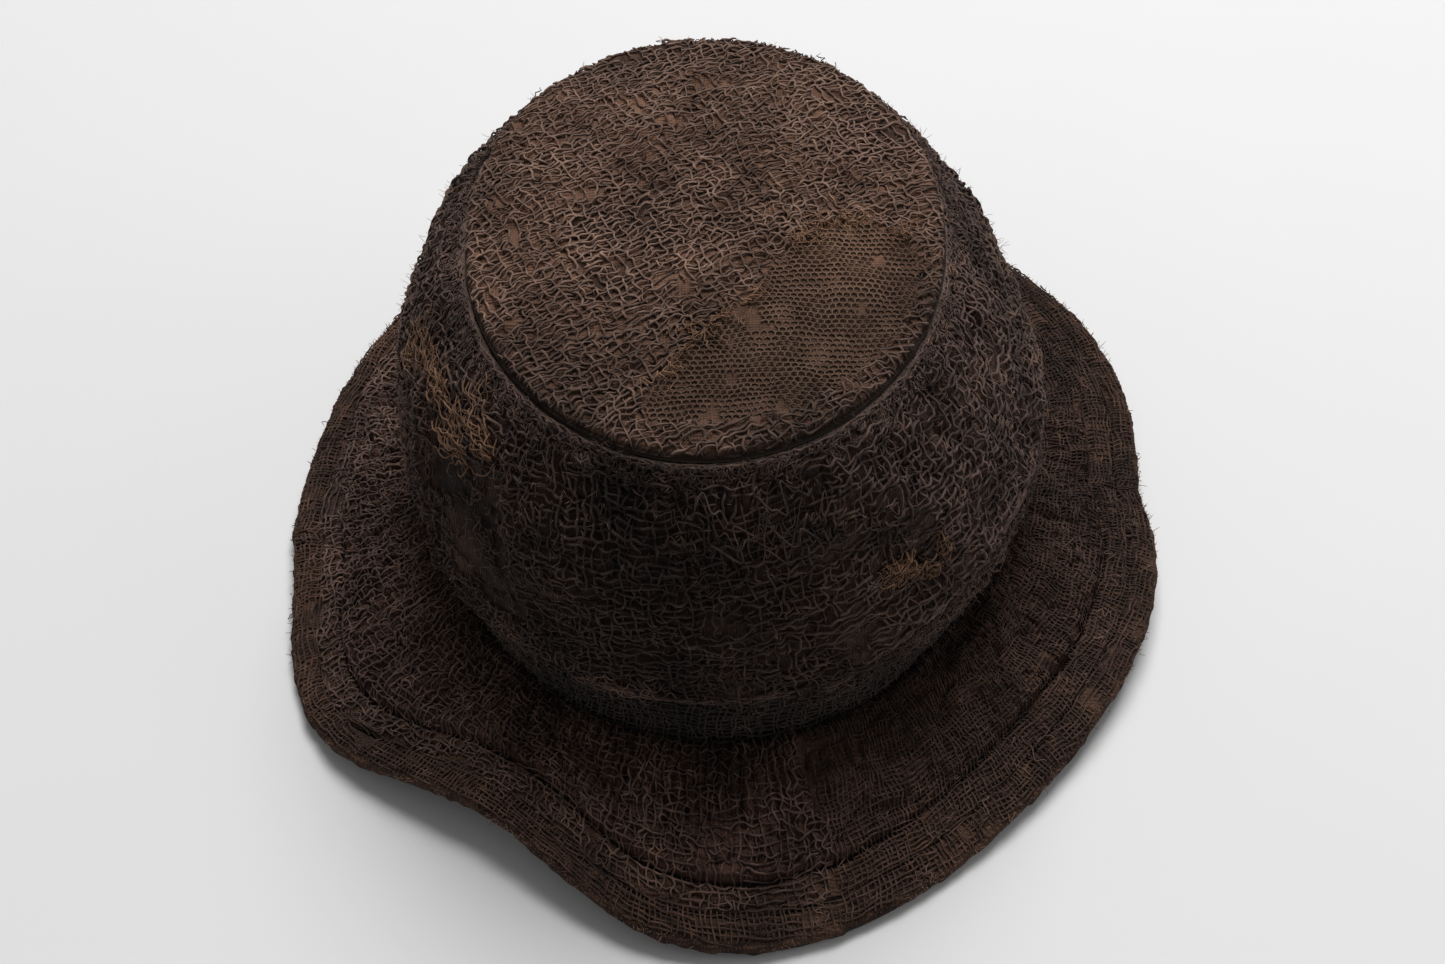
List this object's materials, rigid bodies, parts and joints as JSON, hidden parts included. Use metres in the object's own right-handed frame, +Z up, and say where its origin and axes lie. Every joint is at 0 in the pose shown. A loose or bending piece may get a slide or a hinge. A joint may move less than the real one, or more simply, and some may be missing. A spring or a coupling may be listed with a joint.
{
  "type": "cloth hat",
  "caption": "Soft round-crowned cloth hat with a wavy down-turned brim, crinkled gauze over plain cloth, a recessed hat band and a bound, stitched brim edge.",
  "frame": {"origin": "under the middle of the hat, at the height of the lowest point of the brim, where it rests on a table", "axes": "+X the wearer's left, -Y the front, +Z up through the crown; the hat stands crown up on its brim"},
  "size_m": [0.2818, 0.3178, 0.1385],
  "materials": {
    "gauze": "crinkled open cotton gauze, dark brown",
    "base_cloth": "smooth brown cotton cloth",
    "lining": "plain woven lining",
    "net": "honeycomb net, frayed",
    "band_gauze": "loose ribbed gauze, very dark brown",
    "sweatband_cloth": "twill tape",
    "yarn": "loose golden brown yarn",
    "brim_cloth": "coarse woven cloth, dark reddish brown",
    "interlining": "stiff unbleached interlining",
    "hem_ribbon": "fine ribbed ribbon",
    "thread": "sewing thread"
  },
  "bodies": {
    "root": {"crown_tip_gauze": "gauze", "crown_tip_cloth": "base_cloth", "crown_tip_lining": "lining", "tip_net_patch": "net", "crown_front_gauze": "gauze", "crown_back_gauze": "gauze", "crown_front_cloth": "base_cloth", "crown_back_cloth": "base_cloth", "crown_front_lining": "lining", "crown_back_lining": "lining", "hat_band": "band_gauze", "sweatband": "sweatband_cloth", "tip_seam_ridge": "gauze", "left_yarn_tuft": "yarn", "front_yarn_tuft": "yarn", "brim_front_top_cloth": "brim_cloth", "brim_back_top_cloth": "brim_cloth", "brim_front_interlining": "interlining", "brim_back_interlining": "interlining", "brim_front_under_cloth": "brim_cloth", "brim_back_under_cloth": "brim_cloth", "brim_front_binding": "hem_ribbon", "brim_back_binding": "hem_ribbon", "brim_front_hem_ribbon": "hem_ribbon", "brim_back_hem_ribbon": "hem_ribbon", "brim_left_gauze": "gauze", "tip_seam_stitches": "thread", "band_seam_stitches": "thread", "sweatband_stitches": "thread", "binding_stitches": "thread", "hem_ribbon_stitches": "thread"}
  },
  "joints": []
}
